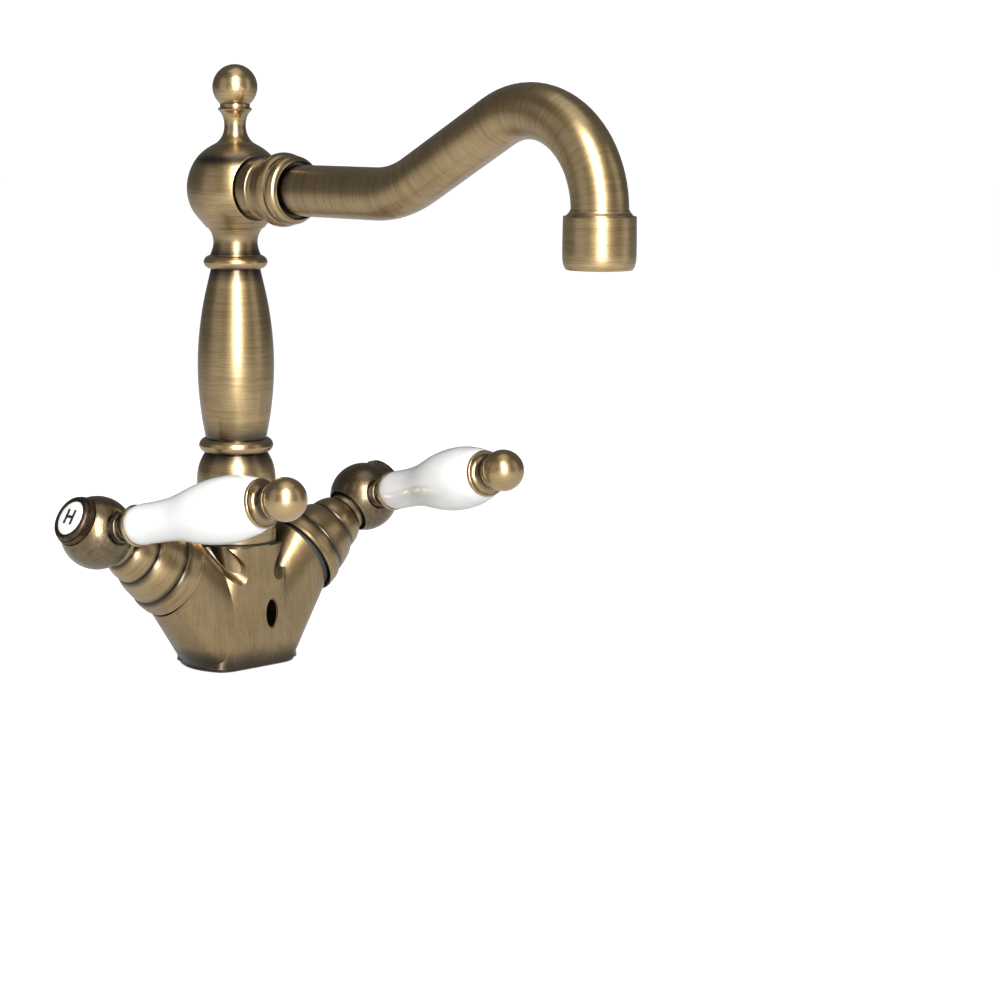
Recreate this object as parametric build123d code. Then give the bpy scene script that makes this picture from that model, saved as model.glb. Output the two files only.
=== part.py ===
from build123d import *
from math import cos, pi, radians, sin
import os

# Two-handle basin mixer with a swivelling arched spout, porcelain levers and quarter-turn
# ceramic headworks.  Millimetres.  Origin: centre of the deck face under the body.
# +Z is up, the spout points to -Y, the hot side is -X and the cold side is +X.

# ---- driving dimensions -------------------------------------------------------------
VALVE_TILT = 60.0            # valve axes, degrees from the vertical
HUB_REACH = 62.0             # handle hub centre, across from the column axis
HUB_HEIGHT = 55.0            # handle hub centre above the deck
LEVER_LIFT = 15.5            # lever above its straight-forward position, degrees
SPOUT_AXIS_Z = 174.2         # axis of the level run of the spout
SPOUT_REACH = 180.6          # column axis to outlet axis
SPOUT_RISE = 27.5            # slope of the rising run, degrees
SPOUT_KNEE = 88.0            # where the rise starts, from the column axis
SPOUT_KNEE_R = 46.0          # bend radius at the knee
SPOUT_ARCH_R = 30.7          # bend radius over the outlet
SPOUT_R = 9.0                # outside radius of the spout tube
SPOUT_WALL = 1.2
OUTLET_Z = 168.6             # end of the spout tube
BODY_TOP = 45.0              # swivel face of the body
BOSS_R = 14.4                # centre boss and column foot
BASE_R = 21.0                # base outline: a circle ...
BASE_FLAT = 14.2             # ... cut by a front and a back flat
ARM_HALF_HEIGHT = 16.0       # arm end face, an ellipse
ARM_HALF_WIDTH = 13.8
ARM_END = 39.0               # arm end face, from the hub centre down the valve axis
HUB_R = 12.95                # handle hub ball
KNOB_R = 7.4                 # lever end ball
KNOB_AT = 92.0               # its centre, from the hub centre along the lever
HEAD_R = 17.45               # ball at the head of the column
FINIAL_R = 8.1
RISER_R = 7.0                # riser tube inside the column
RUN = 0.05                   # running clearance of turned fits
BASE_POINTS = 40             # points on each lofted section

SPLINE_TEETH = 20
KNURL_TEETH = 60


# ---- helpers ------------------------------------------------------------------------
def turned(*runs):
    """Solid of revolution about Z.  A run is a list of (radius, height) points: two make
    a straight line and more make a smooth curve.  The outline closes itself."""
    edges = []
    for run in runs:
        points = [(r, 0, z) for r, z in run]
        edges.append(Line(*points) if len(points) == 2 else Spline(*points))
    first = runs[0][0]
    last = runs[-1][-1]
    if first != last:
        edges.append(Line((last[0], 0, last[1]), (first[0], 0, first[1])))
    return revolve(make_face(Wire(edges)), Axis.Z, 360)


def tube(outer, inner, low, high):
    """Straight pipe along Z."""
    return rod(outer, low, high) - rod(inner, low - 1, high + 1)


def rod(radius, low, high):
    """Straight bar along Z."""
    return Pos(0, 0, low) * Cylinder(radius, high - low, align=(Align.CENTER, Align.CENTER, Align.MIN))


def ring(major, section, height):
    """O-ring about Z."""
    return Pos(0, 0, height) * Torus(major, section)


def toothed(outer, inner, teeth, low, high):
    """Bar along Z with straight teeth all round."""
    corners = []
    for i in range(2 * teeth):
        radius = outer if i % 2 else inner
        angle = pi * i / teeth
        corners.append((radius * cos(angle), radius * sin(angle)))
    face = make_face(Polyline(*corners, close=True))
    return extrude(Pos(0, 0, low) * face, high - low)


# ---- places -------------------------------------------------------------------------
TILT = radians(VALVE_TILT)
HUB = Vector(-HUB_REACH, 0, HUB_HEIGHT)
OUTWARD = Vector(-sin(TILT), 0, cos(TILT))
UPWARD = Vector(cos(TILT), 0, sin(TILT))
FORWARD = Vector(0, -1, 0)
LIFT = radians(LEVER_LIFT)
LEVER = FORWARD * cos(LIFT) + UPWARD * sin(LIFT)
# along the hot valve: z runs from the hub centre down into the body
VALVE = Plane(origin=HUB, x_dir=UPWARD, z_dir=OUTWARD * -1)
# along the hot lever: z runs from the hub centre out to the knob
HANDLE = Plane(origin=HUB, x_dir=OUTWARD, z_dir=LEVER)
# along the level run of the spout: z runs forward from the column axis
SPOUT = Plane(origin=(0, 0, SPOUT_AXIS_Z), x_dir=(1, 0, 0), z_dir=(0, -1, 0))


# ---- body ---------------------------------------------------------------------------
CHAMBER_R = 8.0
CHAMBER_FLOOR = 27.0
POCKET_R = 9.05
POCKET_END = 51.0
INLET_X = 9.0
INLET_Y = -2.0
INLET_R = 4.5
INLET_DEPTH = 13.0
STUD_Y = 7.2
STUD_R = 3.4
STUD_DEPTH = 12.0
CHAIN_X = 5.2
CHAIN_Z = 19.3
CHAIN_HIGH = 10.4
CHAIN_WIDE = 4.8
SEAL_GROOVE = 1.6
PLINTH = 1.5
WEB_TOP = 44.6             # top of the metal in the fork
SCOOP_R = 4.2


def base_radius(angle, grow=0.0):
    """Base outline: a circle cut by two flats, with eased corners."""
    ease = 14
    flat = (BASE_FLAT + grow) / max(abs(sin(angle)), 1e-6)
    return ((BASE_R + grow) ** -ease + flat ** -ease) ** (-1 / ease)


def base_outline(height, grow=0.0):
    points = []
    for i in range(BASE_POINTS):
        angle = 2 * pi * i / BASE_POINTS
        radius = base_radius(angle, grow)
        points.append((radius * cos(angle), radius * sin(angle), height))
    return Wire([Spline(*points, periodic=True)])


def arm_outline():
    """Arm end face of the hot side, point for point like the base outline."""
    centre = HUB - OUTWARD * ARM_END
    points = []
    for i in range(BASE_POINTS):
        angle = 2 * pi * i / BASE_POINTS
        up = UPWARD * (ARM_HALF_HEIGHT * cos(angle))
        back = FORWARD * (-ARM_HALF_WIDTH * sin(angle))
        points.append(centre + up + back)
    return Wire([Spline(*points, periodic=True)])


def mixer_body():
    arm = Solid.make_loft([base_outline(PLINTH), arm_outline()], True)
    boss = turned([(0, 0.5), (13.2, 0.5)], [(13.2, 0.5), (BOSS_R, BODY_TOP)], [(BOSS_R, BODY_TOP), (0, BODY_TOP)])
    plinth = Solid.make_loft([base_outline(0, -0.7), base_outline(0.5)], True)
    plinth += Solid.make_loft([base_outline(0.5), base_outline(PLINTH)], True)
    shape = plinth + arm + mirror(arm, Plane.YZ) + boss + web()
    shape -= rod(CHAMBER_R, CHAMBER_FLOOR, BODY_TOP + 1)
    pocket = VALVE.location * rod(POCKET_R, ARM_END - 10, POCKET_END)
    port = passage((-16, 0, 36.6), (-3, 0, 30), 2.2)
    inlet = Pos(-INLET_X, INLET_Y, 0) * rod(INLET_R, -1, INLET_DEPTH)
    feed = passage((-INLET_X, INLET_Y, INLET_DEPTH - 2), (-17.2, 0, 30.4), 3.0)
    for cut in (pocket, port, inlet, feed):
        shape -= cut
        shape -= mirror(cut, Plane.YZ)
    shape -= Pos(0, STUD_Y, 0) * rod(STUD_R, -1, STUD_DEPTH)
    shape -= seal_groove()
    return shape - chain_hole()


def web():
    """Metal that fills the fork between the arms and the boss, scooped out beside the boss."""
    shape = Solid.make_loft([web_outline(PLINTH, 20.0, 6.0), web_outline(WEB_TOP, 16.2, 12.0)], True)
    scoop = passage((-22.8, 2.5, 52.5), (-7.0, -20.1, 31.5), SCOOP_R)
    for cut in (scoop, mirror(scoop, Plane.XZ)):
        shape -= cut
        shape -= mirror(cut, Plane.YZ)
    return shape


def web_outline(height, half_width, corner):
    face = Pos(0, 0, height) * RectangleRounded(2 * half_width, 2 * BASE_FLAT - 0.1, corner)
    return face.face().outer_wire()


def passage(start, end, radius):
    """Drilled water way between two points."""
    way = Vector(*end) - Vector(*start)
    return Plane(origin=start, z_dir=way).location * rod(radius, 0, way.length)


def chain_hole():
    face = Plane(origin=(CHAIN_X, -BASE_FLAT - 3, CHAIN_Z), x_dir=(1, 0, 0), z_dir=(0, 1, 0))
    slot = face * Ellipse(CHAIN_WIDE / 2, CHAIN_HIGH / 2)
    rim = face * Ellipse(CHAIN_WIDE / 2 + 0.4, CHAIN_HIGH / 2 + 0.4)
    return extrude(slot, 11) + extrude(rim, 3.4)


def seal_groove():
    outer = Face(base_outline(0, -1.3))
    inner = Face(base_outline(0, -1.3 - SEAL_GROOVE))
    return extrude(outer - inner, 1.2, dir=(0, 0, 1))


def base_seal():
    return seal_groove()


# ---- swivel and column --------------------------------------------------------------
SPIGOT_R = 9.95
SPIGOT_TOP = 61.0
FOOT_LOW = 45.7
FOOT_BORE = 10.05
RING_LOW = 78.0
BARREL_LOW = 83.4
BARREL_HIGH = 145.0
HEAD_LOW = 149.9
SEAL_LEVELS = (48.7, 58.0)
STOP_GROOVE = (51.8, 55.4)
GRUB_Z = 53.6


def swivel_spigot():
    shape = rod(8.0, 36.0, BODY_TOP) + rod(SPIGOT_R, BODY_TOP, SPIGOT_TOP)
    for level in SEAL_LEVELS:
        shape -= tube(SPIGOT_R + 1, 8.55, level - 0.85, level + 0.85)
    shape -= tube(SPIGOT_R + 1, 8.8, *STOP_GROOVE)
    return shape - rod(6.2, 30, SPIGOT_TOP + 1)


def swivel_o_rings():
    section = 0.7
    return Compound([ring(FOOT_BORE - RUN - section, section, level) for level in SEAL_LEVELS])


def swivel_slip_ring():
    return tube(BOSS_R - 0.35, SPIGOT_R + RUN, BODY_TOP, FOOT_LOW - 0.1)


def column_foot():
    shape = turned(
        [(FOOT_BORE, FOOT_LOW), (BOSS_R - 0.3, FOOT_LOW)],
        [(BOSS_R - 0.3, FOOT_LOW), (BOSS_R, FOOT_LOW + 0.3)],
        [(BOSS_R, FOOT_LOW + 0.3), (BOSS_R, 67.5)],
        [(BOSS_R, 67.5), (14.15, 71.0), (13.45, 73.9), (12.5, 76.1), (11.5, RING_LOW)],
        [(11.5, RING_LOW), (RISER_R + RUN, RING_LOW)],
        [(RISER_R + RUN, RING_LOW), (RISER_R + RUN, 62.2)],
        [(RISER_R + RUN, 62.2), (FOOT_BORE, 62.2)],
    )
    grub_hole = Plane(origin=(0, 0, GRUB_Z), z_dir=(0, 1, 0)).location * rod(2.0, 9, 16)
    return shape - grub_hole


def retaining_screw():
    """Grub screw at the back of the foot, its dog in the spigot's stop groove."""
    screw = rod(1.95, 10.6, 13.9) + rod(1.3, 9.2, 10.6)
    socket = extrude(Pos(0, 0, 12.2) * RegularPolygon(1.15, 6), 3)
    return Plane(origin=(0, 0, GRUB_Z), z_dir=(0, 1, 0)).location * (screw - socket)


def bead_ring(radius, low, high, root):
    """Turned ring with a full round rim."""
    mid = (low + high) / 2
    half = (high - low) / 2
    rim = radius - half * 0.75
    return turned(
        [(RISER_R + RUN, low), (root, low)],
        [(root, low), (rim + half * 0.45, low + half * 0.35), (radius, mid)],
        [(radius, mid), (rim + half * 0.45, high - half * 0.35), (root, high)],
        [(root, high), (RISER_R + RUN, high)],
    )


def column_ring_lower():
    return bead_ring(13.6, RING_LOW, BARREL_LOW, 11.1)


def column_ring_upper():
    return bead_ring(11.6, BARREL_HIGH, HEAD_LOW, 9.3)


def column_barrel():
    side = [
        (11.1, BARREL_LOW), (11.85, 87.3), (12.6, 91.9), (13.3, 97.8), (13.8, 104.6), (13.9, 110.7),
        (13.7, 116.6), (13.0, 124.3), (11.7, 132.8), (10.1, 140.1), (8.95, BARREL_HIGH),
    ]
    return turned(
        [(RISER_R + RUN, BARREL_LOW), side[0]],
        side,
        [side[-1], (RISER_R + RUN, BARREL_HIGH)],
    )


def riser_tube():
    return tube(RISER_R, 5.6, 62.4, 157.3)


HEAD_Z = 174.2
PORT_R = 9.2
PORT_RECESS = 11.6
PORT_FLOOR = 12.3
FINIAL_LOW = 190.0


def spout_head():
    shape = turned(
        [(RISER_R + RUN, HEAD_LOW), (9.25, HEAD_LOW)],
        [(9.25, HEAD_LOW), (8.4, 152.1), (8.0, 154.8), (8.45, 157.2), (9.8, 159.6)],
        [(9.8, 159.6), (10.5, 159.9)],
        [(10.5, 159.9), (11.9, 161.6), (13.9, 163.9), (15.5, 166.2), (16.95, 170.0), (HEAD_R, HEAD_Z)],
        [(HEAD_R, HEAD_Z), (16.9, 178.4), (15.3, 182.6), (13.2, 185.7), (10.5, 188.1), (7.25, FINIAL_LOW)],
        [(7.25, FINIAL_LOW), (0, FINIAL_LOW)],
        [(0, FINIAL_LOW), (0, 184.2)],
        [(0, 184.2), (5.6, 184.2)],
        [(5.6, 184.2), (5.6, 157.5)],
        [(5.6, 157.5), (RISER_R + RUN, 157.5)],
    )
    shape -= SPOUT.location * rod(PORT_R, 0, HEAD_R)
    shape -= SPOUT.location * rod(PORT_RECESS, PORT_FLOOR, HEAD_R + 5)
    return shape - rod(2.5, 183, FINIAL_LOW + 1)


def finial():
    ball_z = 210.3
    foot = 5.4
    below = ball_z - (FINIAL_R ** 2 - foot ** 2) ** 0.5
    neck = turned(
        [(0, FINIAL_LOW), (7.25, FINIAL_LOW)],
        [(7.25, FINIAL_LOW), (5.15, 192.0), (4.1, 194.5), (3.9, 197.0), (4.45, 199.8), (5.95, 201.9)],
        [(5.95, 201.9), (6.2, 202.3)],
        [(6.2, 202.3), (5.85, 202.8)],
        [(5.85, 202.8), (foot, 202.9)],
        [(foot, 202.9), (foot, below)],
        [(foot, below), (0, below)],
    )
    return neck + Pos(0, 0, ball_z) * Sphere(FINIAL_R) + rod(2.45, 184.5, FINIAL_LOW)


# ---- spout --------------------------------------------------------------------------
COLLAR_BORE = SPOUT_R + RUN
TUBE_START = 18.0


def spout_collar():
    shape = turned(
        [(7.6, 7.5), (9.0, 7.5)],
        [(9.0, 7.5), (9.0, PORT_FLOOR)],
        [(9.0, PORT_FLOOR), (10.9, PORT_FLOOR)],
        [(10.9, PORT_FLOOR), (10.9, 18.4)],
        [(10.9, 18.4), (11.3, 18.9), (10.9, 19.4)],
        [(10.9, 19.4), (10.25, 20.6), (10.15, 22.2), (10.7, 24.2)],
        [(10.7, 24.2), (11.4, 24.5)],
        [(11.4, 24.5), (12.7, 25.6), (13.15, 27.4), (12.9, 29.2), (12.2, 30.4)],
        [(12.2, 30.4), (11.5, 30.7)],
        [(11.5, 30.7), (12.0, 31.5), (12.15, 32.8), (11.7, 34.2), (10.95, 34.9)],
        [(10.95, 34.9), (10.6, 35.1)],
        [(10.6, 35.1), (10.6, 35.9)],
        [(10.6, 35.9), (10.35, 36.3)],
        [(10.35, 36.3), (10.0, 36.0)],
        [(10.0, 36.0), (9.8, 34.6)],
        [(9.8, 34.6), (COLLAR_BORE, 34.6)],
        [(COLLAR_BORE, 34.6), (COLLAR_BORE, TUBE_START - 0.1)],
        [(COLLAR_BORE, TUBE_START - 0.1), (7.6, TUBE_START - 0.1)],
    )
    groove = tube(9.5, 8.2, 9.6, 11.4)
    return SPOUT.location * (shape - groove)


def collar_seal():
    section = 0.45
    return SPOUT.location * ring(PORT_R - 0.05 - section, section, 10.5)


def spout_path():
    """Level run, rise at the knee and arch down to the outlet."""
    apex = SPOUT_AXIS_Z + (SPOUT_REACH - SPOUT_KNEE) * sin(radians(SPOUT_RISE)) / cos(radians(SPOUT_RISE))
    return FilletPolyline(
        (0, -TUBE_START, SPOUT_AXIS_Z),
        (0, -SPOUT_KNEE, SPOUT_AXIS_Z),
        (0, -SPOUT_REACH, apex),
        (0, -SPOUT_REACH, OUTLET_Z),
        radius=[SPOUT_KNEE_R, SPOUT_ARCH_R],
    )


def spout_tube():
    path = spout_path()
    start = Plane(origin=(0, -TUBE_START, SPOUT_AXIS_Z), z_dir=(0, -1, 0))
    section = start * (Circle(SPOUT_R) - Circle(SPOUT_R - SPOUT_WALL))
    return sweep(section, path=path)


AERATOR_R = 11.45
AERATOR_LOW = 154.0
AERATOR_TOP = 170.5
THREAD_LOW = 160.4


def outlet_adapter():
    """Threaded nozzle brazed round the end of the spout tube."""
    return turned(
        [(SPOUT_R + RUN, 172.3), (9.25, 172.3)],
        [(9.25, 172.3), (9.45, 171.7), (10.0, 171.1), (10.35, AERATOR_TOP)],
        [(10.35, AERATOR_TOP), (10.2, AERATOR_TOP)],
        [(10.2, AERATOR_TOP), (10.2, THREAD_LOW)],
        [(10.2, THREAD_LOW), (7.8, THREAD_LOW)],
        [(7.8, THREAD_LOW), (7.8, OUTLET_Z - 0.1)],
        [(7.8, OUTLET_Z - 0.1), (SPOUT_R + RUN, OUTLET_Z - 0.1)],
    )


def aerator_housing():
    return turned(
        [(10.25, AERATOR_TOP), (11.15, AERATOR_TOP)],
        [(11.15, AERATOR_TOP), (11.35, AERATOR_TOP - 0.3)],
        [(11.35, AERATOR_TOP - 0.3), (AERATOR_R, 162.0), (AERATOR_R, 158.5)],
        [(AERATOR_R, 158.5), (11.3, 156.6), (10.9, 155.0), (10.35, AERATOR_LOW)],
        [(10.35, AERATOR_LOW), (9.2, AERATOR_LOW)],
        [(9.2, AERATOR_LOW), (9.2, 155.0)],
        [(9.2, 155.0), (10.25, 155.0)],
    )


def aerator_gasket():
    return tube(10.2, 7.8, THREAD_LOW - 1.4, THREAD_LOW)


def aerator_insert():
    """Flow straightener: a cup with rows of round holes."""
    top = THREAD_LOW - 1.4
    cup = rod(10.15, 156.5, top) - rod(8.4, 157.7, top + 1)
    pitch = 2.6
    holes = [
        Pos(pitch * (column + 0.5 * (row % 2)), pitch * 0.866 * row, 155) * Cylinder(0.8, 8)
        for row in range(-3, 4)
        for column in range(-4, 4)
        if (pitch * (column + 0.5 * (row % 2))) ** 2 + (pitch * 0.866 * row) ** 2 < 7.9 ** 2
    ]
    return cup - holes


def aerator_screen():
    """Outlet screen: a thin disc with square openings."""
    plate = rod(10.15, 155.0, 156.5) - rod(9.0, 155.4, 157)
    pitch = 1.6
    span = range(-5, 6)
    cells = [
        Pos(pitch * i, pitch * j, 155.2) * Box(1.1, 1.1, 2)
        for i in span
        for j in span
        if (abs(i) + 0.5) ** 2 + (abs(j) + 0.5) ** 2 < (8.6 / pitch) ** 2
    ]
    return plate - cells


# ---- valves: z is the distance from the hub centre down the valve axis -------------------
BONNET_TOP = 8.6
BONNET_LOW = 36.6         # inner seat
RIM_LOW = 37.4            # rim of the skirt
BONNET_BORE = 7.25
STEM_R = 4.0
STEM_TOP = -2.6
STEM_SPLINE_END = 5.6
STEM_SEALS = (16.0, 20.0)
SKIRT_R = 7.8
SKIRT_BORE = 6.5
DISC_TOP = 42.3
DISC_SPLIT = 45.6
DISC_LOW = 48.2


def bonnet():
    shape = turned(
        [(BONNET_BORE, BONNET_TOP), (7.7, BONNET_TOP)],
        [(7.7, BONNET_TOP), (7.7, 11.6)],
        [(7.7, 11.6), (9.0, 13.1), (9.95, 15.1), (10.5, 17.3), (10.75, 19.7)],
        [(10.75, 19.7), (10.6, 20.1)],
        [(10.6, 20.1), (11.2, 20.4)],
        [(11.2, 20.4), (12.3, 22.2), (13.25, 24.9), (13.95, 27.7), (14.3, 30.2)],
        [(14.3, 30.2), (14.1, 30.6)],
        [(14.1, 30.6), (14.7, 30.9)],
        [(14.7, 30.9), (15.4, 32.2), (15.8, 34.0), (16.0, 35.8)],
        [(16.0, 35.8), (16.1, 36.3)],
        [(16.1, 36.3), (16.0, RIM_LOW)],
        [(16.0, RIM_LOW), (15.4, RIM_LOW)],
        [(15.4, RIM_LOW), (14.9, 34.2)],
        [(14.9, 34.2), (14.1, 34.2)],
        [(14.1, 34.2), (14.1, BONNET_LOW)],
        [(14.1, BONNET_LOW), (11.2, BONNET_LOW)],
        [(11.2, BONNET_LOW), (11.2, 24.6)],
        [(11.2, 24.6), (8.6, 22.2)],
        [(8.6, 22.2), (BONNET_BORE, 22.2)],
    )
    return shape


def bonnet_seal():
    return turned(
        [(11.0, BONNET_LOW), (13.7, BONNET_LOW)],
        [(13.7, BONNET_LOW), (14.3, BONNET_LOW + 1.2), (13.7, ARM_END)],
        [(13.7, ARM_END), (11.0, ARM_END)],
    )


def valve_housing():
    shape = rod(6.2, 7.0, 12.6) + rod(BONNET_BORE - RUN, 12.6, 34.0)
    hexagon = Pos(0, 0, 33.0) * RegularPolygon(10.6, 6)
    shape += extrude(hexagon, ARM_END - 33.0)
    shape += rod(POCKET_R - RUN, ARM_END, 43.3)
    shape += rod(SKIRT_R, 43.3, 50.4)
    shape -= rod(STEM_R + RUN, 0, 41)
    shape -= rod(SKIRT_BORE, 40.0, 52)
    for quarter in range(4):
        window = Pos(0, 0, 46.8) * Rot(0, 0, 90 * quarter) * Rot(0, 90, 0) * rod(1.3, 5, 9)
        shape -= window
    return shape


def housing_o_ring():
    section = 0.55
    return ring(SKIRT_R + RUN + section, section, 44.2)


def spindle():
    shape = toothed(STEM_R, STEM_R - 0.35, SPLINE_TEETH, STEM_TOP, STEM_SPLINE_END)
    shape += rod(STEM_R, STEM_SPLINE_END, 40.3)
    shape += rod(5.9, 40.3, DISC_TOP)
    shape += Pos(0, 0, DISC_TOP + 0.6) * Box(8.6, 2.3, 1.2)
    for level in STEM_SEALS:
        shape -= tube(STEM_R + 1, 2.8, level - 0.65, level + 0.65)
    return shape - rod(1.65, STEM_TOP - 1, 9)


def spindle_o_rings():
    section = 0.58
    return Compound([ring(STEM_R + 0.02 - section, section, level) for level in STEM_SEALS])


def moving_disc():
    shape = rod(6.3, DISC_TOP, DISC_SPLIT)
    shape -= Pos(0, 0, DISC_TOP + 0.6) * Box(9.0, 2.5, 1.3)
    return shape - quadrants(DISC_SPLIT - 1.6, DISC_SPLIT + 1, 90)


def fixed_disc():
    return rod(6.35, DISC_SPLIT + 0.02, DISC_LOW) - quadrants(DISC_SPLIT - 1, DISC_LOW + 1, 0)


def quadrants(low, high, turn):
    """Pair of opposite quarter-round flow openings."""
    wedge = Pos(0, 0, low) * Box(9, 9, high - low, align=(Align.MIN, Align.MIN, Align.MIN))
    opening = rod(4.6, low, high) - rod(1.4, low - 1, high + 1)
    return Rot(0, 0, turn) * (opening & (wedge + Rot(0, 0, 180) * wedge))


def seat_seal():
    return tube(6.35, 4.7, DISC_LOW, POCKET_END)


# ---- handles ------------------------------------------------------------------------
HUB_FLAT = -9.2              # outboard flat, along the valve axis
HUB_WEB = (-5.6, -3.0)
RECESS_R = 9.0
RECESS_FLOOR = 5.4
LEVER_BOSS = 14.4            # along the lever
GRIP_START = 19.8
GRIP_END = 80.9
COLLAR_END = 86.9


def handle_hub():
    ball = Sphere(HUB_R)
    ball -= Pos(0, 0, HUB_FLAT) * Box(40, 40, 20, align=(Align.CENTER, Align.CENTER, Align.MAX))
    ball -= rod(RECESS_R, RECESS_FLOOR, 20)
    ball -= toothed(STEM_R + RUN, STEM_R - 0.3, SPLINE_TEETH, HUB_WEB[1], RECESS_FLOOR + 0.1)
    ball -= rod(2.1, -20, 0)
    ball -= rod(4.4, -20, HUB_WEB[0])
    ball -= rod(7.6, -20, HUB_FLAT + 0.9)
    shape = VALVE.location * ball
    shape -= HANDLE.location * tube(6.0, 5.0, 11.4, 20)
    shape += HANDLE.location * (tube(4.7, 2.5, 11.4, LEVER_BOSS - 0.9) + boss_rim())
    return shape - HANDLE.location * rod(2.5, 6.2, 20)


def boss_rim():
    """Small bead on the end of the hub's lever boss."""
    low = LEVER_BOSS - 0.9
    return turned(
        [(2.5, low), (4.7, low)],
        [(4.7, low), (5.25, low + 0.45), (4.8, LEVER_BOSS)],
        [(4.8, LEVER_BOSS), (2.5, LEVER_BOSS)],
    )


def handle_screw():
    """Socket head screw that holds the hub on the spindle."""
    screw = rod(3.5, HUB_WEB[0] - 2.6, HUB_WEB[0]) + rod(1.6, HUB_WEB[0], 6.5)
    socket = extrude(Pos(0, 0, HUB_WEB[0] - 3.0) * RegularPolygon(1.7, 6), 1.9)
    return VALVE.location * (screw - socket)


def index_ring():
    """Knurled cap screwed into the outboard flat of the hub."""
    shape = turned(
        [(0, HUB_FLAT + 0.8), (7.5, HUB_FLAT + 0.8)],
        [(7.5, HUB_FLAT + 0.8), (7.5, HUB_FLAT)],
        [(7.5, HUB_FLAT), (8.3, HUB_FLAT)],
        [(8.3, HUB_FLAT), (8.3, -11.3)],
        [(8.3, -11.3), (8.35, -12.0), (8.0, -12.8), (7.3, -13.3)],
        [(7.3, -13.3), (6.4, -13.1)],
        [(6.4, -13.1), (6.4, -10.8)],
        [(6.4, -10.8), (0, -10.8)],
    )
    knurl = toothed(8.85, 8.5, KNURL_TEETH, -11.4, -9.5) - rod(7.9, -14, -9)
    return VALVE.location * (shape + knurl)


def index_disc():
    return VALVE.location * turned(
        [(0, -10.8), (6.35, -10.8)],
        [(6.35, -10.8), (6.35, -12.6)],
        [(6.35, -12.6), (6.1, -12.95), (5.4, -13.15), (3.0, -13.3), (0, -13.4)],
    )


def lever_rod():
    return HANDLE.location * rod(2.45, 6.4, KNOB_AT - 1.6)


def lever_ferrule():
    return HANDLE.location * turned(
        [(2.5, LEVER_BOSS + 0.05), (4.3, LEVER_BOSS + 0.05)],
        [(4.3, LEVER_BOSS + 0.05), (4.3, 16.0)],
        [(4.3, 16.0), (4.8, 17.4), (5.8, 18.7), (6.8, 19.7)],
        [(6.8, 19.7), (7.3, 20.3), (7.3, 21.0), (7.0, 21.5)],
        [(7.0, 21.5), (6.75, 21.5)],
        [(6.75, 21.5), (6.75, GRIP_START)],
        [(6.75, GRIP_START), (2.5, GRIP_START)],
    )


def lever_grip():
    side = [
        (6.7, 21.4), (7.1, 23.5), (7.15, 28.0), (7.2, 33.5), (7.55, 39.0), (8.3, 44.0), (9.4, 49.0),
        (10.5, 54.5), (11.2, 60.0), (11.4, 65.5), (11.1, 70.5), (10.3, 75.0), (9.2, 78.8), (8.0, GRIP_END),
    ]
    return HANDLE.location * turned(
        [(3.0, GRIP_START), (6.7, GRIP_START)],
        [(6.7, GRIP_START), side[0]],
        side,
        [side[-1], (3.0, GRIP_END)],
    )


def lever_collar():
    return HANDLE.location * turned(
        [(2.5, GRIP_END), (8.0, GRIP_END)],
        [(8.0, GRIP_END), (8.35, 81.4), (8.35, 81.9), (7.95, 82.4)],
        [(7.95, 82.4), (6.6, 82.8), (5.6, 83.8), (5.25, 84.9), (5.4, 86.0)],
        [(5.4, 86.0), (5.85, 86.4), (5.6, COLLAR_END)],
        [(5.6, COLLAR_END), (2.5, COLLAR_END)],
    )


def lever_knob():
    shape = Pos(0, 0, KNOB_AT) * Sphere(KNOB_R) + rod(4.0, COLLAR_END + 0.05, KNOB_AT - 3)
    shape -= rod(8, KNOB_AT - 9, COLLAR_END + 0.05)
    return HANDLE.location * (shape - rod(2.5, 80, KNOB_AT - 1.4))


# ---- nodes --------------------------------------------------------------------------
def in_valve(shape):
    return VALVE.location * shape


def at_outlet(shape):
    return Pos(0, -SPOUT_REACH, 0) * shape


def centre_nodes():
    return {
        "mixer_body": mixer_body(),
        "base_seal": base_seal(),
        "swivel_spigot": swivel_spigot(),
        "swivel_o_rings": swivel_o_rings(),
        "swivel_slip_ring": swivel_slip_ring(),
        "column_foot": column_foot(),
        "retaining_screw": retaining_screw(),
        "column_ring_lower": column_ring_lower(),
        "column_barrel": column_barrel(),
        "column_ring_upper": column_ring_upper(),
        "riser_tube": riser_tube(),
        "spout_head": spout_head(),
        "finial": finial(),
        "spout_collar": spout_collar(),
        "collar_seal": collar_seal(),
        "spout_tube": spout_tube(),
        "outlet_adapter": at_outlet(outlet_adapter()),
        "aerator_housing": at_outlet(aerator_housing()),
        "aerator_gasket": at_outlet(aerator_gasket()),
        "aerator_insert": at_outlet(aerator_insert()),
        "aerator_screen": at_outlet(aerator_screen()),
    }


def side_nodes():
    """Hot side pieces; the cold side is their mirror image."""
    return {
        "bonnet": in_valve(bonnet()),
        "bonnet_seal": in_valve(bonnet_seal()),
        "valve_housing": in_valve(valve_housing()),
        "housing_o_ring": in_valve(housing_o_ring()),
        "seat_seal": in_valve(seat_seal()),
        "fixed_disc": in_valve(fixed_disc()),
        "moving_disc": in_valve(moving_disc()),
        "spindle": in_valve(spindle()),
        "spindle_o_rings": in_valve(spindle_o_rings()),
        "handle_hub": handle_hub(),
        "handle_screw": handle_screw(),
        "index_ring": index_ring(),
        "index_disc": index_disc(),
        "lever_rod": lever_rod(),
        "lever_ferrule": lever_ferrule(),
        "lever_grip": lever_grip(),
        "lever_collar": lever_collar(),
        "lever_knob": lever_knob(),
    }


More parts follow.
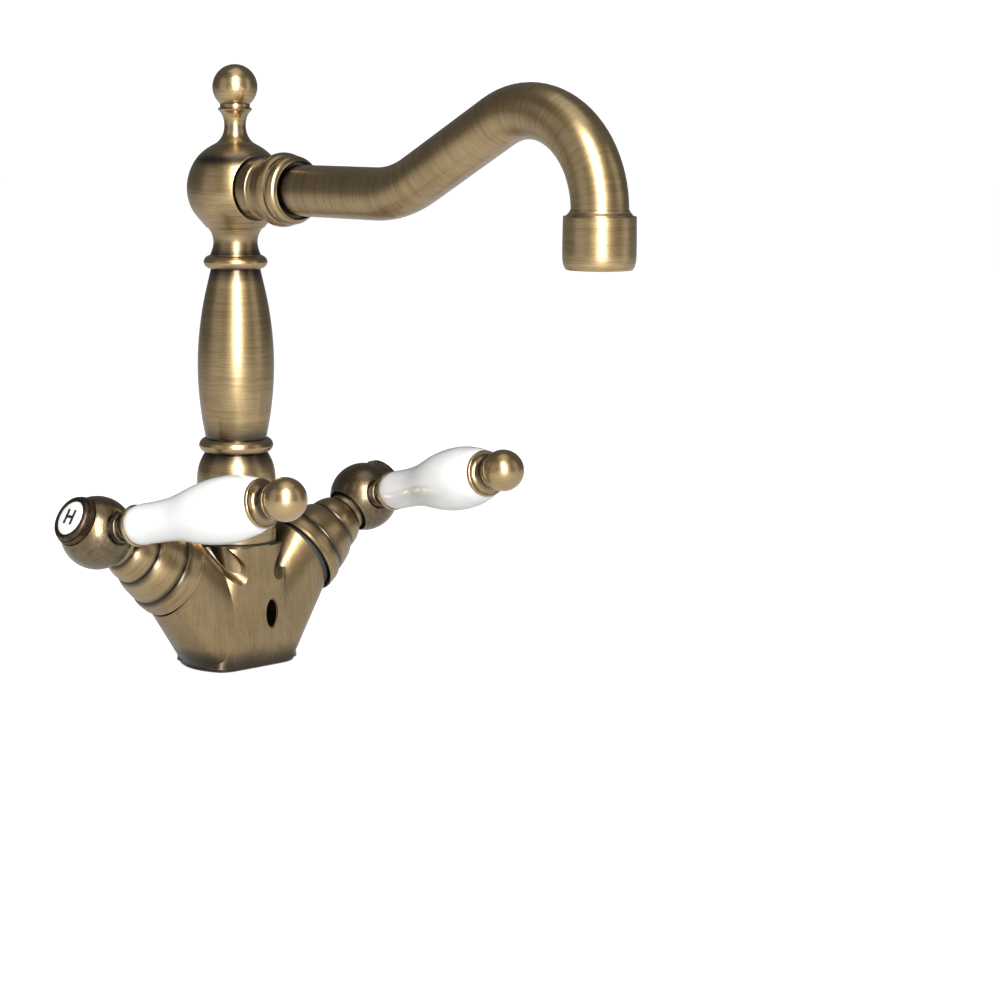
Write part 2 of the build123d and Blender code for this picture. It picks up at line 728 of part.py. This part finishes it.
os.makedirs("parts", exist_ok=True)
for name, shape in centre_nodes().items():
    export_step(shape, f"parts/{name}.step")
for name, shape in side_nodes().items():
    export_step(shape, f"parts/hot_{name}.step")
    export_step(mirror(shape, Plane.YZ), f"parts/cold_{name}.step")
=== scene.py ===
"""Looks of the two-handle basin mixer: brushed antique brass, porcelain levers, index letters,
pale floor and soft studio light.  Metres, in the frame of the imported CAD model."""
import math

import bpy
from mathutils import Matrix, Vector


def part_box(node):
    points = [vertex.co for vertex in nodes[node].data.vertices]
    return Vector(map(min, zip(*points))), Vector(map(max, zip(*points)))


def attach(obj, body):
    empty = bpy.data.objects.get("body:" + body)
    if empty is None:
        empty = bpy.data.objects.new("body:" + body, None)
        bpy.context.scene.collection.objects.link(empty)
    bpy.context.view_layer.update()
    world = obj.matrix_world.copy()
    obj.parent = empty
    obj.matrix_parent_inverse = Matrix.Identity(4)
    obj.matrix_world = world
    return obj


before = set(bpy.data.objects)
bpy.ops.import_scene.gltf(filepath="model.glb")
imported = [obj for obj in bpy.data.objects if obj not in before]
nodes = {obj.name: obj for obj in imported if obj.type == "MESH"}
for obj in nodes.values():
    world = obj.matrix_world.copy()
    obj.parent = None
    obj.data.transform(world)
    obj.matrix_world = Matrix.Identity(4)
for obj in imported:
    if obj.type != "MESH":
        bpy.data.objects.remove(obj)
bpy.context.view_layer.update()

# ---- driving dimensions -------------------------------------------------------------
VALVE_TILT = math.radians(60)       # valve axes, from the vertical
LEVER_LIFT = math.radians(15.5)
HUB_REACH = 0.062
HUB_HEIGHT = 0.055
INDEX_FACE = 0.0134                 # hub centre to the crown of the index disc
LETTER_SIZE = 0.0074
LETTER_DEPTH = 0.00011              # each way from its middle
LETTER_BOLD = 0.00014
LETTER_SINK = 0.00002
SPOUT_Z = 0.1742                    # axis of the level run of the spout
SPOUT_REACH = 0.1806
SPOUT_RISE = math.radians(27.5)
SPOUT_KNEE = 0.088
SPOUT_KNEE_R = 0.046
SPOUT_ARCH_R = 0.0307
SPOUT_ARCH_Z = 0.1715               # height of the arch centre
BONNET_STEPS = ((0.0118, 0.0016), (0.0203, 0.0022), (0.0306, 0.0024))   # (depth from the hub, reach)
LEVER_WAISTS = ((0.0158, 0.0022), (0.0846, 0.0022))                     # (run from the hub, reach)
COLUMN_REACHES = (0.0055, 0.0075, 0.006, 0.005)     # painted shade and patina beside the bead rings, bottom to top
UP = Vector((0, 0, 1))
ACROSS = Vector((0, 1, 0))

# ---- colours ------------------------------------------------------------------------
GOLD = (0.56, 0.40, 0.19)
PALE_GOLD = (0.72, 0.55, 0.30)
BROWN = (0.30, 0.20, 0.088)
# umber of patina and scratch wear, also used as painted shade in recesses and along joints
PATINA_AND_SHADE_UMBER = (0.030, 0.019, 0.009)
GLAZE = (0.74, 0.74, 0.735)
GLAZE_POOL = (0.68, 0.685, 0.68)
# warm grey painted shade for the creases of the glaze
GLAZE_CREASE_SHADE = (0.52, 0.48, 0.40)
BLACK_BRONZE = (0.075, 0.052, 0.036)
WARM_BRONZE = (0.15, 0.105, 0.07)
RUBBED_BRONZE = (0.30, 0.22, 0.14)
TURNED_BRASS = (0.62, 0.48, 0.25)
SATIN_STEEL = (0.56, 0.56, 0.55)
SEAL_BLACK = (0.018, 0.018, 0.018)
SLIP_BLACK = (0.012, 0.012, 0.012)
INSERT_GREY = (0.42, 0.43, 0.44)
ALUMINA = (0.78, 0.77, 0.74)
INK = (0.010, 0.010, 0.011)
FLOOR_LOW = (0.60, 0.60, 0.595)
FLOOR_HIGH = (0.64, 0.64, 0.635)

# ---- studio -------------------------------------------------------------------------
CAMERA_PLACE = (-0.5554, -0.7052, 0.2047)
CAMERA_HEADING = math.radians(-42.041)
CAMERA_DIP = math.radians(6.842)
CAMERA_ROLL = math.radians(0.237)
CAMERA_LENS = 89.07                 # mm, on a 36 mm sensor
CAMERA_SHIFT = 0.10                 # of the sensor, right and down
LIT_POINT = Vector((0, -0.05, 0.11))
SOFTBOXES = (                       # azimuth, elevation, distance, width, height, watts
    ("key_softbox", -35, 26, 1.1, 0.38, 1.25, 24.0),
    ("left_softbox", -104, 16, 1.0, 0.7, 0.9, 0.8),
    ("right_softbox", 36, 16, 1.0, 0.4, 0.9, 0.7),
    ("top_softbox", 0, 86, 1.2, 0.8, 0.8, 1.6),
)
FLOOR_REACH = 6.0
FLOOR_Z = -0.0004                   # just under the foot of the body
FLOOR_SIDES = 60
FLOOR_GLOW = 0.78                   # seen by the camera only
SKY_SEEN = 1.1
SKY_FILL = 0.42
SKY_MIRRORED = 0.30                 # share of either that metal reflects


def hub_centre(side):
    return Vector((side * HUB_REACH, 0, HUB_HEIGHT))


def valve_axis(side):
    """Outward axis of the hot (-1) or cold (+1) valve."""
    return Vector((side * math.sin(VALVE_TILT), 0, math.cos(VALVE_TILT)))


def valve_up(side):
    return Vector((-side * math.cos(VALVE_TILT), 0, math.sin(VALVE_TILT)))


def lever_axis(side):
    return Vector((0, -math.cos(LEVER_LIFT), 0)) + valve_up(side) * math.sin(LEVER_LIFT)


# ---- node helpers -------------------------------------------------------------------
class Net:
    """A material's node tree, with short calls for the nodes used here."""

    def __init__(self, name):
        self.material = bpy.data.materials.new(name)
        self.material.use_nodes = True
        self.tree = self.material.node_tree
        self.shader = self.tree.nodes["Principled BSDF"]
        self.place = self.add("ShaderNodeTexCoord").outputs["Object"]

    def add(self, kind, **settings):
        made = self.tree.nodes.new(kind)
        for key, value in settings.items():
            setattr(made, key, value)
        return made

    def put(self, socket, value):
        """Links an output, or stores a constant."""
        if isinstance(value, bpy.types.NodeSocket):
            self.tree.links.new(value, socket)
        else:
            socket.default_value = value

    def math(self, operation, *values):
        made = self.add("ShaderNodeMath", operation=operation)
        for socket, value in zip(made.inputs, values):
            self.put(socket, value)
        return made.outputs[0]

    def vector(self, operation, *values):
        made = self.add("ShaderNodeVectorMath", operation=operation)
        for socket, value in zip(made.inputs, values):
            self.put(socket, value)
        return made.outputs["Value" if operation == "DOT_PRODUCT" else "Vector"]

    def scaled(self, vector, factor):
        made = self.add("ShaderNodeVectorMath", operation="SCALE")
        self.put(made.inputs[0], vector)
        self.put(made.inputs["Scale"], factor)
        return made.outputs["Vector"]

    def noise(self, vector, scale, detail=3.0, roughness=0.55):
        made = self.add("ShaderNodeTexNoise")
        self.put(made.inputs["Vector"], vector)
        made.inputs["Scale"].default_value = scale
        made.inputs["Detail"].default_value = detail
        made.inputs["Roughness"].default_value = roughness
        return made.outputs["Fac"]

    def span(self, value, low, high, to_low=0.0, to_high=1.0):
        made = self.add("ShaderNodeMapRange", interpolation_type="SMOOTHSTEP")
        for key, entry in zip(range(5), (value, low, high, to_low, to_high)):
            self.put(made.inputs[key], entry)
        return made.outputs[0]

    def mix(self, amount, first, second):
        made = self.add("ShaderNodeMix", data_type="RGBA")
        self.put(made.inputs["Factor"], amount)
        self.put(made.inputs["A"], rgba(first))
        self.put(made.inputs["B"], rgba(second))
        return made.outputs["Result"]

    def hidden(self, distance, inside=False):
        """0 in the open and 1 deep in a recess; inside: 1 on a sharp edge."""
        made = self.add("ShaderNodeAmbientOcclusion", samples=8, inside=inside)
        made.inputs["Distance"].default_value = distance
        return self.math("SUBTRACT", 1.0, made.outputs["AO"])

    def bump(self, height, strength, distance, under=None):
        made = self.add("ShaderNodeBump")
        made.inputs["Strength"].default_value = strength
        made.inputs["Distance"].default_value = distance
        self.put(made.inputs["Height"], height)
        if under is not None:
            self.put(made.inputs["Normal"], under)
        return made.outputs["Normal"]

    def finish(self, colour, roughness, normal=None, metallic=0.0, **constants):
        self.put(self.shader.inputs["Base Color"], rgba(colour))
        self.put(self.shader.inputs["Roughness"], roughness)
        self.shader.inputs["Metallic"].default_value = metallic
        if normal is not None:
            self.put(self.shader.inputs["Normal"], normal)
        for key, value in constants.items():
            self.shader.inputs[key.replace("_", " ")].default_value = value
        return self.material


def rgba(colour):
    return (*colour, 1.0) if isinstance(colour, tuple) and len(colour) == 3 else colour


# ---- brushing -----------------------------------------------------------------------
FINE = 4600.0                # brush lines per metre, across them
DRAWN = 150.0                # how quickly a line changes along itself


def around(net, axis):
    """Brush lines that run round an axis, as left by a lathe or a belt."""
    height = net.vector("DOT_PRODUCT", net.place, tuple(axis))
    return striped(net, height)


def striped(net, height):
    """Lines of equal height, wandering slightly along their length."""
    drift = net.noise(net.place, 45.0, detail=1.0)
    level = net.math("ADD", height, net.math("MULTIPLY", drift, 0.0012))
    line = net.add("ShaderNodeCombineXYZ")
    net.put(line.inputs["Z"], net.math("MULTIPLY", level, FINE))
    return net.vector("ADD", net.scaled(net.place, DRAWN), line.outputs[0])


def along(net, axis, sway=0.0):
    """Brush lines that run along an axis."""
    height = net.vector("DOT_PRODUCT", net.place, tuple(axis))
    flat = net.vector("SUBTRACT", net.place, net.scaled(tuple(axis), height))
    flat = net.vector("ADD", flat, net.scaled(tuple(Vector((sway, sway, 0))), height))
    lengthwise = net.scaled(tuple(axis), net.math("MULTIPLY", height, DRAWN))
    return net.vector("ADD", net.scaled(flat, FINE * 0.6), lengthwise)


def spout_run(net):
    """Distance along the spout's bent axis, piece by piece."""
    forward = (0, -math.cos(SPOUT_RISE), math.sin(SPOUT_RISE))
    upright = (0, math.sin(SPOUT_RISE), math.cos(SPOUT_RISE))
    cut = SPOUT_KNEE_R * math.tan(SPOUT_RISE / 2)
    knee_centre = (0, -(SPOUT_KNEE - cut), SPOUT_Z + SPOUT_KNEE_R)
    arch_centre = (0, -(SPOUT_REACH - SPOUT_ARCH_R), SPOUT_ARCH_Z)
    corner = Vector((0, -SPOUT_KNEE, SPOUT_Z)) + Vector(forward) * cut
    arch_start = Vector(arch_centre) + Vector(upright) * SPOUT_ARCH_R
    rise_length = (arch_start - corner).dot(Vector(forward))

    def limited(value, top):
        return net.math("MINIMUM", net.math("MAXIMUM", value, 0.0), top)

    def turn(centre, ahead, outward, radius, total):
        arm = net.vector("SUBTRACT", net.place, centre)
        y = net.vector("DOT_PRODUCT", arm, ahead)
        x = net.vector("DOT_PRODUCT", arm, outward)
        return net.math("MULTIPLY", limited(net.math("ARCTAN2", y, x), total), radius)

    level = limited(net.vector("DOT_PRODUCT", net.place, (0, -1, 0)), SPOUT_KNEE - cut)
    knee = turn(knee_centre, (0, -1, 0), (0, 0, -1), SPOUT_KNEE_R, SPOUT_RISE)
    climb = net.vector("DOT_PRODUCT", net.vector("SUBTRACT", net.place, tuple(corner)), forward)
    rise = limited(climb, rise_length)
    arch = turn(arch_centre, forward, upright, SPOUT_ARCH_R, SPOUT_RISE + math.pi / 2)
    return net.math("ADD", net.math("ADD", level, knee), net.math("ADD", rise, arch))


# ---- materials ----------------------------------------------------------------------
def brass(name, lines, tone=0.8, patina_and_shade=1.0, gloss=0.34, scratches=0.0, rims=(), contrast=1.0):
    """Brushed antique brass: dark patina and painted shade in the recesses, rubbed bright on the edges.
    Each rim is (axis, distance along it, reach), a joint line painted dark with patina and shade."""
    net = Net(name)
    vector = lines(net)
    brush = net.noise(vector, 1.0, detail=4.0, roughness=0.62)
    coarse = net.noise(net.scaled(vector, 0.22), 1.0, detail=2.0)
    cloud = net.noise(net.place, 70.0, detail=3.0)
    recess = net.hidden(0.011)
    edge = net.hidden(0.0009, inside=True)
    gold, pale, brown = [tuple(tone * channel for channel in colour) for colour in (GOLD, PALE_GOLD, BROWN)]
    line = net.math("ADD", net.math("MULTIPLY", brush, 0.65), net.math("MULTIPLY", coarse, 0.35))
    streak = net.span(line, 0.30, 0.62, 0.55 - 0.55 * contrast, 0.55 + 0.45 * contrast)
    colour = net.mix(streak, brown, gold)
    colour = net.mix(net.math("MULTIPLY", net.span(cloud, 0.45, 0.75), 0.25), colour, pale)
    colour = net.mix(net.math("MULTIPLY", net.span(cloud, 0.5, 0.25), 0.3 * patina_and_shade), colour, brown)
    # painted shade with patina: umber in the recesses, from occlusion within 11 mm
    colour = net.mix(net.math("MULTIPLY", net.span(recess, 0.04, 0.5), 0.97 * patina_and_shade), colour, PATINA_AND_SHADE_UMBER)
    # painted shade with patina: an umber band either side of each joint line
    for axis, distance, reach in rims:
        gap = net.math("SUBTRACT", net.vector("DOT_PRODUCT", net.place, tuple(axis)), distance)
        wander = net.math("MULTIPLY", net.math("SUBTRACT", cloud, 0.5), reach * 0.5)
        ragged = net.math("ADD", net.math("ABSOLUTE", gap), wander)
        colour = net.mix(net.math("MULTIPLY", net.span(ragged, reach, 0.0), 0.9 * patina_and_shade), colour, PATINA_AND_SHADE_UMBER)
    colour = net.mix(net.math("MULTIPLY", net.span(edge, 0.3, 0.7), 0.4), colour, pale)
    rough = net.span(brush, 0.3, 0.7, gloss + 0.07, gloss - 0.05)
    normal = net.bump(brush, 0.25, 0.00004)
    if scratches:
        stretched = net.vector("MULTIPLY", net.place, (900.0, 300.0, 500.0))
        scuff = net.noise(stretched, 1.0, detail=5.0, roughness=0.7)
        normal = net.bump(scuff, scratches, 0.00012, under=normal)
        colour = net.mix(net.math("MULTIPLY", net.span(scuff, 0.52, 0.7), scratches), colour, pale)
        colour = net.mix(net.math("MULTIPLY", net.span(scuff, 0.45, 0.25), scratches), colour, PATINA_AND_SHADE_UMBER)
    return net.finish(colour, rough, normal, metallic=1.0, Coat_Weight=0.9, Coat_Roughness=0.2)


def bronze(name, axis):
    """Blackened bronze of the index rings, rubbed brown on the knurl."""
    net = Net(name)
    cloud = net.noise(net.place, 400.0, detail=4.0)
    edge = net.hidden(0.0006, inside=True)
    brush = net.noise(around(net, axis), 1.0)
    colour = net.mix(net.span(cloud, 0.4, 0.7), BLACK_BRONZE, WARM_BRONZE)
    colour = net.mix(net.math("MULTIPLY", net.span(edge, 0.2, 0.6), 0.6), colour, RUBBED_BRONZE)
    rough = net.span(cloud, 0.3, 0.7, 0.42, 0.30)
    return net.finish(colour, rough, net.bump(brush, 0.2, 0.00005), metallic=1.0)


def turned_metal(name, colour, axis, gloss):
    net = Net(name)
    brush = net.noise(around(net, axis), 1.0, detail=3.0)
    cloud = net.noise(net.place, 90.0)
    darker = tuple(0.72 * channel for channel in colour)
    shade = net.mix(net.span(net.math("ADD", brush, cloud), 0.7, 1.3), darker, colour)
    rough = net.span(brush, 0.3, 0.7, gloss + 0.06, gloss)
    return net.finish(shade, rough, net.bump(brush, 0.25, 0.00005), metallic=1.0)


def porcelain(name):
    """White glaze: faint waviness and patchy tone, with painted warm shade in the creases."""
    net = Net(name)
    pool = net.noise(net.place, 38.0, detail=2.0)
    speck = net.noise(net.place, 900.0, detail=2.0)
    colour = net.mix(net.span(pool, 0.35, 0.7), GLAZE, GLAZE_POOL)
    # painted shade: warm grey in the creases, from occlusion within 3 mm
    colour = net.mix(net.math("MULTIPLY", net.hidden(0.003), 0.35), colour, GLAZE_CREASE_SHADE)
    rough = net.span(speck, 0.3, 0.7, 0.07, 0.12)
    wave = net.bump(pool, 0.12, 0.0006)
    return net.finish(colour, rough, wave, Coat_Weight=0.6, Coat_Roughness=0.04, IOR=1.52)


def moulded(name, colour, gloss):
    """Moulded rubber or plastic with a fine matt grain."""
    net = Net(name)
    fine = net.noise(net.place, 2200.0, detail=3.0)
    cloud = net.noise(net.place, 60.0)
    lighter = tuple(min(1.0, channel * 1.35 + 0.004) for channel in colour)
    shade = net.mix(net.span(cloud, 0.3, 0.7), colour, lighter)
    rough = net.span(fine, 0.3, 0.7, gloss - 0.06, gloss + 0.06)
    return net.finish(shade, rough, net.bump(fine, 0.3, 0.00004))


def pale_floor(name):
    """Pale matt floor that glows a little for the camera, so that it runs into the white sky."""
    net = Net(name)
    cloud = net.noise(net.place, 3.0, detail=3.0)
    colour = net.mix(net.span(cloud, 0.3, 0.7), FLOOR_LOW, FLOOR_HIGH)
    seen = net.add("ShaderNodeLightPath").outputs["Is Camera Ray"]
    net.put(net.shader.inputs["Emission Strength"], net.span(seen, 0.0, 1.0, 0.0, FLOOR_GLOW))
    net.shader.inputs["Emission Color"].default_value = (1, 1, 1, 1)
    return net.finish(colour, 0.6, Specular_IOR_Level=0.2)


# ---- finish of every CAD node -------------------------------------------------------
def coat(names, material):
    for name in names:
        slots = nodes[name].data.materials
        slots.clear()
        slots.append(material)


def dress_centre():
    """Finishes on the column, the spout and the body; returns the plain metals and the rubber."""
    # painted shade with patina: the body darkened within 9 mm of its foot
    foot = [(UP, 0.001, 0.009)]
    body = brass("brass_body", lambda net: along(net, UP, 0.12), 0.72, 0.9, 0.36, rims=foot, contrast=0.6)
    coat(["mixer_body"], body)
    joints = [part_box(f"column_ring_{level}")[end].z for level in ("lower", "upper") for end in (0, 1)]
    # painted shade with patina: umber bands beside the bead rings and under the finial
    rims = [(UP, joint, reach) for joint, reach in zip(joints, COLUMN_REACHES)]
    rims.append((UP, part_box("finial")[0].z, 0.003))
    column = brass("brass_column", lambda net: around(net, UP), rims=rims)
    coat(["column_foot", "column_barrel", "spout_head"], column)
    bright = brass("brass_beads", lambda net: around(net, UP), tone=0.95, patina_and_shade=0.85, gloss=0.30)
    coat(["column_ring_lower", "column_ring_upper", "finial"], bright)
    coat(["outlet_adapter", "aerator_housing"], brass("brass_outlet", lambda net: around(net, UP)))
    coat(["spout_collar"], brass("brass_collar", lambda net: around(net, ACROSS), gloss=0.30))
    # painted shade with patina: the tube darkened where it enters the collar
    mouth = -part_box("spout_collar")[0].y
    out = [(-ACROSS, mouth, 0.005)]
    coat(["spout_tube"], brass("brass_spout", lambda net: striped(net, spout_run(net)), rims=out))
    plain = turned_metal("turned_brass", TURNED_BRASS, UP, 0.24)
    coat(["swivel_spigot", "riser_tube"], plain)
    steel = turned_metal("satin_steel", SATIN_STEEL, UP, 0.28)
    coat(["retaining_screw", "aerator_screen"], steel)
    rubber = moulded("black_seal_rubber", SEAL_BLACK, 0.62)
    coat(["base_seal", "swivel_o_rings", "collar_seal", "aerator_gasket"], rubber)
    coat(["swivel_slip_ring"], moulded("slip_ring_polymer", SLIP_BLACK, 0.42))
    coat(["aerator_insert"], moulded("insert_polymer", INSERT_GREY, 0.42))
    return plain, steel, rubber


def dress_side(word, side, plain, steel, rubber, glaze):
    """Finishes on one valve and its handle."""
    axis = valve_axis(side)
    lever = lever_axis(side)

    def named(*names):
        return [f"{word}_{name}" for name in names]

    hub = hub_centre(side)
    # painted shade with patina: umber bands at the bonnet steps
    steps = [(axis, hub.dot(axis) - depth, reach) for depth, reach in BONNET_STEPS]
    coat(named("bonnet"), brass(f"brass_bonnet_{word}", lambda net: around(net, axis), rims=steps))
    # painted shade with patina: umber bands at the lever waists
    waists = [(lever, hub.dot(lever) + run, reach) for run, reach in LEVER_WAISTS]
    dark = brass(f"brass_hub_{word}", lambda net: around(net, lever), tone=0.34, gloss=0.32, scratches=0.85)
    coat(named("handle_hub"), dark)
    coat(named("index_ring"), bronze(f"bronze_{word}", axis))
    fitting = brass(f"brass_lever_{word}", lambda net: around(net, lever), 0.95, gloss=0.27, rims=waists)
    coat(named("lever_ferrule", "lever_collar"), fitting)
    smooth = brass(f"brass_knob_{word}", lambda net: around(net, UP), 1.02, 0.35, 0.32, contrast=0.4)
    coat(named("lever_knob"), smooth)
    coat(named("lever_grip", "index_disc"), glaze)
    coat(named("valve_housing", "spindle"), plain)
    coat(named("handle_screw", "lever_rod"), steel)
    coat(named("moving_disc", "fixed_disc"), moulded(f"alumina_{word}", ALUMINA, 0.3))
    coat(named("bonnet_seal", "housing_o_ring", "seat_seal", "spindle_o_rings"), rubber)


# ---- index letters ------------------------------------------------------------------
def index_letter(word, letter, side, ink):
    """Plain capital on the crown of the index disc, upright and readable from outside."""
    axis = valve_axis(side)
    up = valve_up(side)
    right = up.cross(axis)
    curve = bpy.data.curves.new(f"{word}_index_letter", "FONT")
    curve.body = letter
    curve.size = LETTER_SIZE
    curve.extrude = LETTER_DEPTH
    curve.offset = LETTER_BOLD
    curve.align_x = "CENTER"
    curve.align_y = "CENTER"
    curve.materials.append(ink)
    made = bpy.data.objects.new(f"{word}_index_letter", curve)
    bpy.context.scene.collection.objects.link(made)
    turn = Matrix((right, up, axis)).transposed().to_4x4()
    centre = hub_centre(side) + axis * (INDEX_FACE - LETTER_SINK)
    made.matrix_world = Matrix.Translation(centre) @ turn
    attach(made, f"{word}_handle")


# ---- floor, lights and camera -------------------------------------------------------
def floor():
    mesh = bpy.data.meshes.new("floor")
    angles = [2 * math.pi * step / FLOOR_SIDES for step in range(FLOOR_SIDES)]
    ring = [(FLOOR_REACH * math.cos(angle), FLOOR_REACH * math.sin(angle), FLOOR_Z) for angle in angles]
    mesh.from_pydata(ring, [], [list(range(FLOOR_SIDES))])
    made = bpy.data.objects.new("floor", mesh)
    mesh.materials.append(pale_floor("pale_floor"))
    bpy.context.scene.collection.objects.link(made)


def softbox(name, azimuth, elevation, distance, width, height, watts):
    """Area light on a sphere round the mixer.  Azimuth as in the views: 0 is in front."""
    round_by = math.radians(azimuth)
    up_by = math.radians(elevation)
    level = Vector((math.sin(round_by), -math.cos(round_by), 0))
    away = level * math.cos(up_by) + UP * math.sin(up_by)
    lamp = bpy.data.lights.new(name, "AREA")
    lamp.shape = "RECTANGLE"
    lamp.size = width
    lamp.size_y = height
    lamp.energy = watts
    made = bpy.data.objects.new(name, lamp)
    made.location = LIT_POINT + away * distance
    made.rotation_euler = away.to_track_quat("Z", "Y").to_euler()
    bpy.context.scene.collection.objects.link(made)


def sky():
    """White to look at, greyer as a fill, so that the metal keeps its dark sides."""
    world = bpy.data.worlds.new("studio")
    bpy.context.scene.world = world
    world.use_nodes = True
    tree = world.node_tree
    background = tree.nodes["Background"]
    rays = tree.nodes.new("ShaderNodeLightPath")
    both = tree.nodes.new("ShaderNodeMath")
    both.operation = "MULTIPLY"
    levels = (("Is Camera Ray", SKY_FILL, SKY_SEEN), ("Is Glossy Ray", 1.0, SKY_MIRRORED))
    for (ray, otherwise, then), socket in zip(levels, both.inputs):
        level = tree.nodes.new("ShaderNodeMapRange")
        level.inputs["To Min"].default_value = otherwise
        level.inputs["To Max"].default_value = then
        tree.links.new(rays.outputs[ray], level.inputs["Value"])
        tree.links.new(level.outputs["Result"], socket)
    tree.links.new(both.outputs[0], background.inputs["Strength"])
    background.inputs["Color"].default_value = (1, 1, 1, 1)


def camera():
    data = bpy.data.cameras.new("camera")
    data.sensor_width = 36
    data.lens = CAMERA_LENS
    data.shift_x = CAMERA_SHIFT
    data.shift_y = -CAMERA_SHIFT
    data.clip_start = 0.05
    data.clip_end = 50
    made = bpy.data.objects.new("camera", data)
    made.location = CAMERA_PLACE
    heading = Matrix.Rotation(CAMERA_HEADING, 4, "Z")
    tilt = Matrix.Rotation(math.pi / 2 - CAMERA_DIP, 4, "X")
    roll = Matrix.Rotation(CAMERA_ROLL, 4, "Z")
    made.rotation_euler = (heading @ tilt @ roll).to_euler()
    bpy.context.scene.collection.objects.link(made)
    bpy.context.scene.camera = made


# ---- build --------------------------------------------------------------------------
camera()
floor()
sky()
bpy.context.scene.view_settings.view_transform = "Standard"
for settings in SOFTBOXES:
    softbox(*settings)

turned_brass, satin_steel, seal_rubber = dress_centre()
white_glaze = porcelain("white_glaze")
letter_ink = moulded("letter_ink", INK, 0.4)
dress_side("hot", -1, turned_brass, satin_steel, seal_rubber, white_glaze)
dress_side("cold", 1, turned_brass, satin_steel, seal_rubber, white_glaze)
index_letter("hot", "H", -1, letter_ink)
index_letter("cold", "C", 1, letter_ink)
